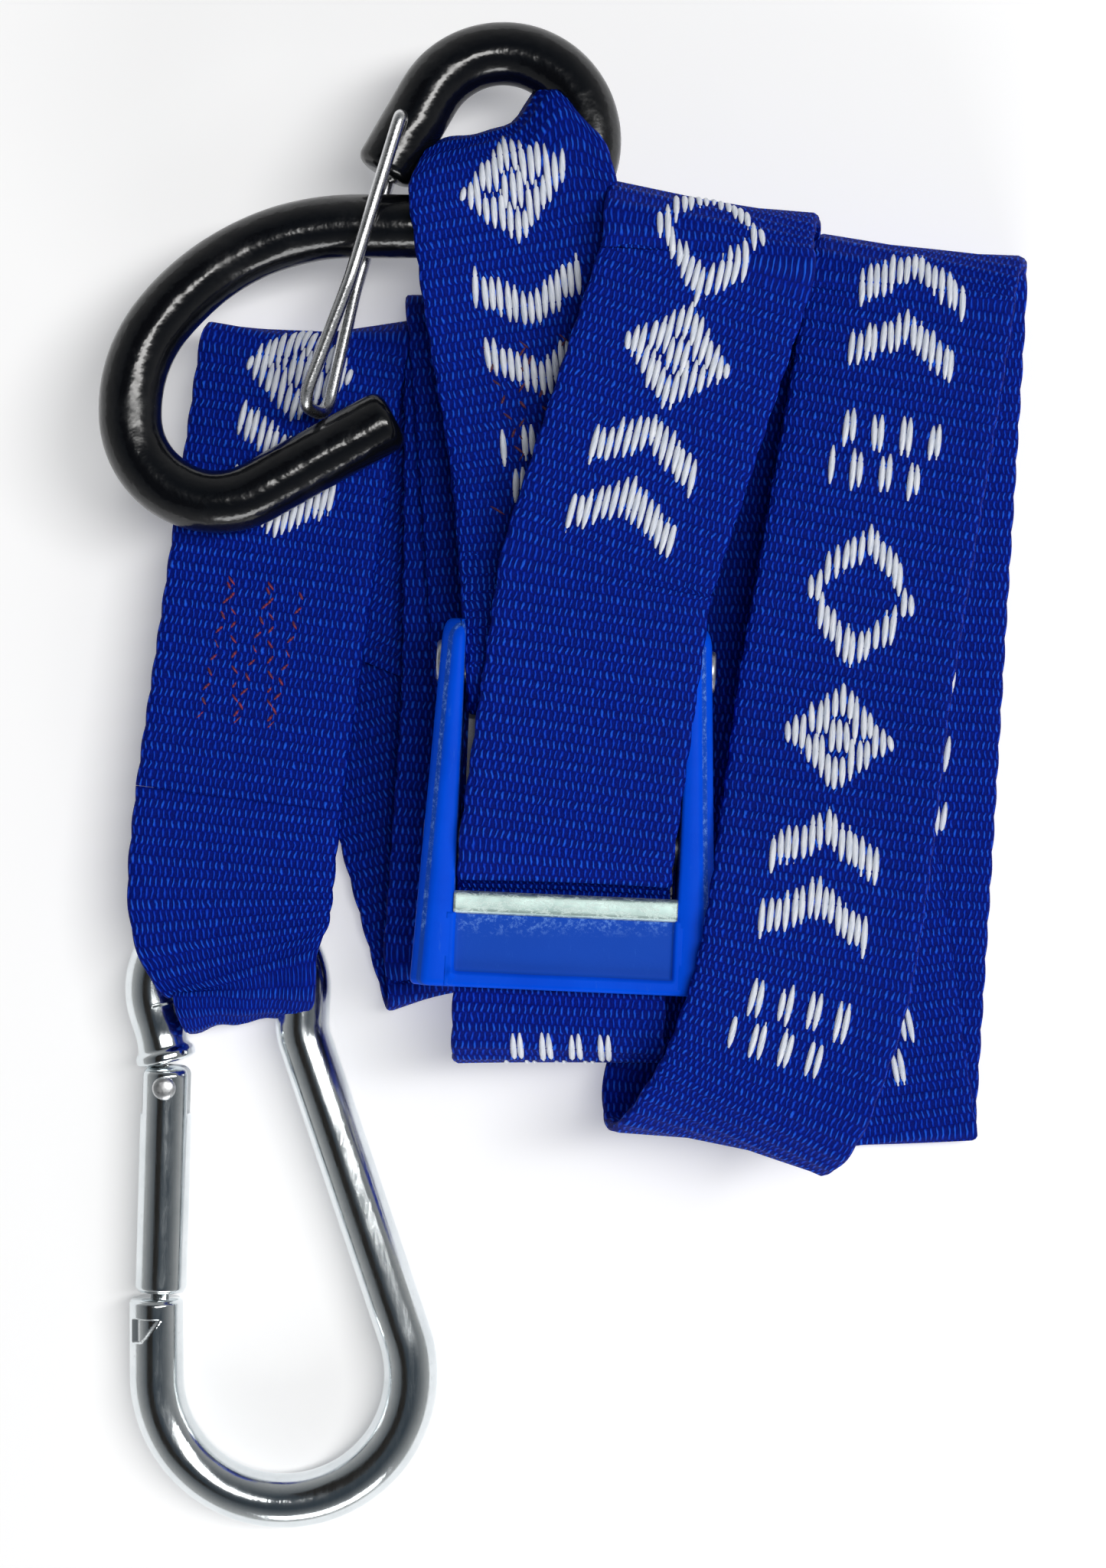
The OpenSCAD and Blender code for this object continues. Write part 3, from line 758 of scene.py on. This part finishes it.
BUCKLE_AT = np.array([-0.2, -25.3, 25])     # middle of the floor end, on the lip's face
BUCKLE_TURN = math.radians(-2.5)
BUCKLE_L = 43
FOOT_HALF = 17.9    # half of the outer width at the floor end
TIP_HALF = 15.7     # half of the outer width at the arms' tips
INNER_HALF = 13     # half of the clear width between the arms
BAR_FROM = 8.55     # from the floor end to the wear bar
PLATE_T = 2.6
PANEL_DEPTH = 0.7   # how far the panel is sunk under the lip


def on_buckle(p):
    """Points of the buckle's own frame, whose origin is the middle of its floor end, in the webbing's
    frame."""
    p = np.asarray(p, float)
    c, s = math.cos(BUCKLE_TURN), math.sin(BUCKLE_TURN)
    return BUCKLE_AT + np.stack([c * p[..., 0] - s * p[..., 1], s * p[..., 0] + c * p[..., 1], p[..., 2]], -1)


def arm(name, side):
    """One arm: sections across it, from the floor end to the tip. Its outer side leans in, its depth follows
    the cheek's profile, its outer top edge is bevelled, and both ends are rounded."""
    y = np.unique(np.r_[np.linspace(0, 1.6, 12), np.linspace(1.6, 40, 80), np.linspace(40, BUCKLE_L, 16)])
    depth = np.interp(y, [0, 3.5, 9, 10.5, 13, 21, 23.5, 26, 35, 40.4, BUCKLE_L],
                      [5.5, 9.5, 10.8, 11.6, 13, 13, 11.8, 11.2, 8.8, 8.8, 6.8])
    tip = 1 - np.sqrt(1 - np.clip((y - 40.6) / 2.4, 0, 1) ** 2 * 0.98)
    foot = 1 - np.sqrt(1 - np.clip((0.9 - y) / 0.9, 0, 1) ** 2 * 0.98)
    drop = 2.3 * tip + 0.5 * foot
    squeeze = 0.8 * tip + 0.5 * foot
    inner = INNER_HALF + squeeze * 0.6
    out = FOOT_HALF + (TIP_HALF - FOOT_HALF) * y / BUCKLE_L - squeeze
    section = ((inner, -depth), (inner, -drop - 0.55), (inner + 0.12, -drop - 0.2), (inner + 0.45, -drop),
               (out - 2.1, -drop), (out - 1.75, -drop - 0.06), (out - 1.45, -drop - 0.25),
               (out - 0.35, -drop - 1.5), (out - 0.1, -drop - 1.9), (out, -drop - 2.5), (out, -depth + 0.4),
               (out - 0.4, -depth))
    return loft(name, on_buckle(np.stack([np.stack([side * x, y, z], -1) for x, z in section], 1)))


def floor_plate():
    """The floor plate's lip and sunk panel: the top is a height over x and y, 0 on the lip and sunk on the
    panel with a soft step between, and rounded off at the front edge."""

    def step(d):
        return 0.5 + 0.5 * np.tanh(d)

    side = np.linspace(11.8, 13.8, 16)
    x = np.unique(np.r_[-side[::-1], np.linspace(-11.8, 11.8, 60), side])
    y = np.unique(np.r_[np.linspace(0, 3, 26), np.linspace(3, 8.7, 20)])
    xx, yy = np.meshgrid(x, y)
    panel = step((yy - 1.75) / 0.18) * step((12.75 - np.abs(xx)) / 0.16)
    front = 0.45 * (1 - np.sqrt(np.clip(1 - np.clip(1 - yy / 0.6, 0, 1) ** 2, 0, 1)))
    dot = 0.3 * np.exp(-(((xx + 13.1) / 0.5) ** 2 + ((yy - 1.6) / 0.5) ** 2))
    wave = 0.035 * np.sin(xx / 2.3) * np.sin(yy / 1.4 + 0.6)
    upper = np.stack([xx, yy, dot + wave - front - PANEL_DEPTH * panel], -1)
    lower = np.stack([xx, yy + 0.25 * (yy < 0.05), np.full(xx.shape, -PLATE_T)], -1)
    n, m = xx.shape
    points = on_buckle(np.concatenate([upper.reshape(-1, 3), lower.reshape(-1, 3)]))
    i, j = np.meshgrid(np.arange(n - 1), np.arange(m - 1), indexing="ij")
    a = i * m + j
    quads = np.stack([a, a + 1, a + m + 1, a + m], -1).reshape(-1, 4)
    edge = np.r_[np.arange(m), np.arange(1, n) * m + m - 1, (n - 1) * m + np.arange(m - 2, -1, -1),
                 np.arange(n - 2, 0, -1) * m]
    nxt = np.roll(edge, -1)
    sides = np.stack([edge, edge + n * m, nxt + n * m, nxt], -1)
    return new_piece("floor_plate", points, np.vstack([quads, quads[:, ::-1] + n * m, sides]))


def bar_across(name, y0, y1, z0, z1, half, corner, wear):
    """A bar across the buckle with rounded corners: a superellipse section, whose top waves by wear."""

    def power(v):
        return np.sign(v) * np.abs(v) ** corner

    x = np.linspace(-half, half, 90)[:, None]
    turn = np.arange(36)[None, :] / 36 * TAU
    y = (y0 + y1) / 2 + (y1 - y0) / 2 * power(np.cos(turn))
    z = (z0 + z1) / 2 + (z1 - z0) / 2 * power(np.sin(turn))
    z = z + wear * np.sin(x / 1.7) * np.sin(x / 4.1 + 1) * (z > z1 - 0.3)
    return loft(name, on_buckle(np.stack(np.broadcast_arrays(x, y, z), -1)))


def pin_across(name, at, half, radius=2.5):
    """A cross pin with softened end edges."""
    x = np.r_[-half, -half + 0.06, -half + 0.25, -half + 0.5, half - 0.5, half - 0.25, half - 0.06, half]
    r = radius * np.r_[0.86, 0.93, 0.985, 1, 1, 0.985, 0.93, 0.86]
    path = on_buckle(np.stack([x, np.full(8, at[0]), np.full(8, at[1])], -1))
    return tube(name, path, r, LEVEL_UP, 40)


# ---------------------------------------------------------------- materials of the parts

# The webbing's colours: painted shade for the weave's hollows, its own blue, and a painted highlight for the
# float crowns.
BLUE = webbing_material("webbing", (0.0005, 0.0030, 0.110), (0.0016, 0.0260, 0.480), (0.0160, 0.1300, 0.860))
WHITE_YARN = yarn_material("white_yarn", (0.50, 0.58, 0.72), (0.92, 0.94, 1.0))
RED_THREAD = thread_material("red_thread", (0.050, 0.003, 0.030), (0.300, 0.012, 0.050))
DARK_THREAD = thread_material("dark_thread", (0.035, 0.003, 0.030), (0.140, 0.008, 0.040))
VINYL = vinyl_material()
WIRE = metal_material("bright_wire", (0.82, 0.83, 0.84), 0.16, (0.95, 0.95, 0.95), 0.3)
ZINC = metal_material("zinc_plate", (0.80, 0.84, 0.86), 0.05, (0.95, 0.97, 0.98), 0.10, (1.0, 0.12, 1.0),
                      (0.60, 0.65, 0.67))
WORN = metal_material("worn_bar", (0.58, 0.72, 0.68), 0.42, (0.90, 1.0, 0.97), 0.9, (0.35, 1.0, 1.0),
                      (0.20, 0.30, 0.30))
STEEL = metal_material("bare_steel", (0.62, 0.63, 0.64), 0.28, (0.85, 0.85, 0.85), 0.4)
CAST = metal_material("cast_zinc", (0.36, 0.37, 0.39), 0.42, (0.60, 0.60, 0.62), 0.5)
PAINT = paint_material()


def dress(piece, material, body, slot, *nodes):
    """Gives a piece its material and the body it moves with, and hides the CAD nodes it stands for. slot is
    not used.
    """
    piece.data.materials.clear()
    piece.data.materials.append(material)
    if body:
        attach(piece, body)
    if nodes:
        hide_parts(*nodes)
    return piece


# ---------------------------------------------------------------- the webbing and what is on it

long_route = route(LONG_PASSES, LONG_BULGES, [2.5, 2.5, 3, 3, 3, 3, 3, 3, 3.5, 3, 0.9, 3, 3])
front_half = riding_up(route([SHORT_FRONT, SHORT_BACK_TOP], [5.2], [2.2, 2.2]), (-6.5, 75, 17.5), 7.5)
back_half = route([SHORT_BACK_LOW, SHORT_FRONT[:2]], [4.6], [2.2, 1.5])

loop_from = s_at(long_route, (-39.2, -3, 0.9))
loop_to = s_at(long_route, (-39.3, -3, 9.6))
middle = s_at(long_route, (31, 5, 2.6))
end = long_route["s"][-1]

snap_tail = webbing("webbing_snap_tail", part_of(long_route, 0, loop_from))
snap_loop = webbing("webbing_snap_loop", part_of(long_route, loop_from, loop_to))
left = webbing("webbing_left", part_of(long_route, loop_to, middle))
right = webbing("webbing_right", part_of(long_route, middle, end))
short = joined("webbing_short", [webbing("short_front", front_half), webbing("short_back", back_half)])

dress(snap_tail, BLUE, "root", "blue_webbing")
dress(snap_loop, BLUE, None, "blue_webbing", "snap_loop_tail")
dress(left, BLUE, "root", "blue_webbing", "strap_run_to_snap", "strap_folds_left")
dress(right, BLUE, "root", "blue_webbing", "strap_folds_right", "strap_run_to_buckle", "strap_free_end")
dress(short, BLUE, "root", "blue_webbing", "short_strap")

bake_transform(snap_loop)

random = np.random.default_rng(7)
left_centres = row_between(long_route, (-31.9, 49, 9.6), (-33.7, 37, 9.6), 2)
right_centres = (row_between(long_route, (32.5, -2, 2.6), (36.8, -34, 2.6), 3) +
                 row_between(long_route, (39, -36, 0.9), (44, 48, 0.9), 6) +
                 row_between(long_route, (40.6, 55, 15.5), (26.0, -29.5, 26), 6) +
                 [s_at(long_route, (17.2, 63.5, 24))] +
                 row_between(long_route, (12.4, 49, 24.4), (8.6, 34, 24.8), 2) +
                 [s_at(long_route, (-0.5, -33.2, 17))])
short_centres = row_between(front_half, (-6.1, 68.8, 20), (-0.9, 37, 17.6), 3)
tail_centres = row_between(long_route, (-36.4, 17, 0.9), (-38.4, 3, 0.9), 2)

for name, r, centres in (("figures_left", long_route, left_centres + tail_centres),
                         ("figures_right", long_route, right_centres),
                         ("figures_short", front_half, short_centres)):
    dress(strands(name, r, figure_yarns(centres, random), 0.40, 0.30), WHITE_YARN, "root", "blue_webbing")


def zigzag(r, a, b, us):
    """A zigzag in (u, s) between two points of a route, with its corners at these distances across."""
    s0, s1 = s_at(r, a), s_at(r, b)
    return [(u, s1 if k % 2 else s0) for k, u in enumerate(us)]


snap_zigzag = zigzag(long_route, (-37, 5.6, 9.6), (-34.6, 23, 9.6), (-6, -4.6, -1.5, 0.2, 2.6, 4.2))
hook_zigzag = zigzag(front_half, (-3.2, 52, 17.6), (-1, 37.6, 17.6), (-6, -4, -1.6, 0.8, 3.2, 5.6))
buckle_zigzag = zigzag(front_half, (-0.3, 32, 17.9), (0, 27.5, 18.5), (-8, -4, 0, 4, 8))
hem_rows = []
for point in ((-19.4, 16.2, 4.4), (-20.2, 14.4, 4.4)):
    hem_rows += stitch_line([(-9, s_at(long_route, point)), (9, s_at(long_route, point))], 1.8, 1.3, 0.3)

for name, r, rows, thick, height, thread, node in (
        ("snap_stitches", long_route, stitch_line(snap_zigzag, 1.75, 1.05, 0.35), 0.20, 0.20, RED_THREAD,
         "snap_loop_stitching"),
        ("hook_stitches", front_half, stitch_line(hook_zigzag, 1.9, 1.2, 0.4), 0.20, 0.22, DARK_THREAD,
         "hook_loop_stitching"),
        ("buckle_stitches", front_half, stitch_line(buckle_zigzag, 2.2, 1.6, 0.3), 0.22, 0.22, DARK_THREAD,
         "buckle_loop_stitching"),
        ("hem_stitches", long_route, hem_rows, 0.24, 0.24, RED_THREAD, "free_end_hem")):
    dress(strands(name, r, rows, thick, height, 5), thread, "root", "red_thread", node)

# ---------------------------------------------------------------- metal and vinyl

dress(hook_sleeve(), VINYL, "s_hook", "black_vinyl", "s_hook_sleeve")
dress(gate_wire(), WIRE, "wire_gate", "bright_wire", "wire_gate")
dress(snap_body(), ZINC, "snap_hook", "zinc_plated_steel", "snap_hook_body")
dress(gate_rod(), ZINC, "snap_gate", "zinc_plated_steel", "snap_gate")
dress(gate_rivet(), STEEL, "snap_hook", "bare_steel", "snap_gate_rivet")

casting = joined("buckle_casting", [arm("arm_left", -1), arm("arm_right", 1), floor_plate()])
dress(casting, PAINT, "root", "blue_painted_metal", "buckle_frame")
dress(bar_across("wear_bar", BAR_FROM, 11.2, -PLATE_T, 0.12, INNER_HALF + 0.05, 0.45, 0.05), WORN, "root",
      "bare_steel", "floor_wear_bar")
dress(pin_across("cam_pin_piece", (17, -9), 17.2), STEEL, "root", "bare_steel", "cam_pin")
dress(pin_across("anchor_pin_piece", (38, -5), 16.4), STEEL, "root", "bare_steel", "anchor_bar")

for node, material in (("s_hook_rod", STEEL), ("snap_gate_plunger", STEEL), ("snap_gate_spring", WIRE),
                       ("cam_lever", CAST), ("cam_spring", WIRE)):
    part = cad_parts[node]
    part.data.materials.clear()
    part.data.materials.append(material)

# ---------------------------------------------------------------- floor, light and camera

scene = bpy.context.scene


def stage_card(name, size, place, aim, material):
    """A flat card that faces a point."""
    w, h = size[0] / 2, size[1] / 2
    mesh = bpy.data.meshes.new(name)
    mesh.from_pydata([(-w, -h, 0), (w, -h, 0), (w, h, 0), (-w, h, 0)], [], [(0, 1, 2, 3)])
    card = bpy.data.objects.new(name, mesh)
    card.location = place
    if aim is not None:
        way = np.array(aim) - np.array(place)
        card.rotation_euler = (0.0, math.acos(way[2] / np.linalg.norm(way)), math.atan2(way[1], way[0]))
    scene.collection.objects.link(card)
    mesh.materials.append(material)
    return card


def plain(name, colour, roughness, glow=0.0):
    m = Shader(name)
    m.set(Base_Color=colour, Roughness=roughness, Specular_IOR_Level=0.1)
    if glow:
        m.set(Emission_Color=(1.0, 1.0, 1.0), Emission_Strength=glow)
    return m.material


stage_card("floor", (1.6, 1.6), (0, 0, -0.0002), None, plain("floor_white", (0.93, 0.93, 0.94), 0.9, 0.23))
dark = plain("dark_card", (0.02, 0.018, 0.016), 0.9)
stage_card("card_left", (0.30, 0.9), (-0.30, 0.0, 0.62), (0, 0, 0), dark)


def area_light(name, place, aim, size, power, colour):
    lamp = bpy.data.lights.new(name, "AREA")
    lamp.shape = "RECTANGLE"
    lamp.size, lamp.size_y = size
    lamp.energy = power
    lamp.color = colour
    item = bpy.data.objects.new(name, lamp)
    item.location = place
    way = np.array(aim) - np.array(place)
    item.rotation_euler = (math.acos(-way[2] / np.linalg.norm(way)), 0.0, math.atan2(-way[0], way[1]))
    scene.collection.objects.link(item)
    return item


area_light("key", (0.36, 0.10, 0.95), (0, 0, 0), (0.20, 0.8), 7.4, (1.0, 0.99, 0.97))
area_light("low", (0.12, -0.80, 0.30), (0, 0, 0), (0.50, 0.20), 2.4, (1.0, 1.0, 1.0))

world = bpy.data.worlds.new("room")
world.use_nodes = True
scene.world = world
tree = world.node_tree
background = tree.nodes["Background"]
sky_places = tree.nodes.new("ShaderNodeTexCoord")
split = tree.nodes.new("ShaderNodeSeparateXYZ")
height = tree.nodes.new("ShaderNodeValToRGB")
height.color_ramp.elements[0].position = 0.0
height.color_ramp.elements[0].color = (0.75, 0.75, 0.74, 1)
height.color_ramp.elements[1].position = 0.9
height.color_ramp.elements[1].color = (0.06, 0.08, 0.10, 1)
tree.links.new(sky_places.outputs["Generated"], split.inputs[0])
tree.links.new(split.outputs[2], height.inputs[0])
tree.links.new(height.outputs[0], background.inputs["Color"])
background.inputs["Strength"].default_value = 0.6

lens = bpy.data.cameras.new("camera")
lens.sensor_fit = "VERTICAL"
lens.sensor_height = 24
lens.lens = 50.6
lens.clip_start = 0.01
camera = bpy.data.objects.new("camera", lens)
camera.location = (-0.00225, 0.00019, 0.4096)
scene.collection.objects.link(camera)
scene.camera = camera
scene.view_settings.view_transform = "Standard"
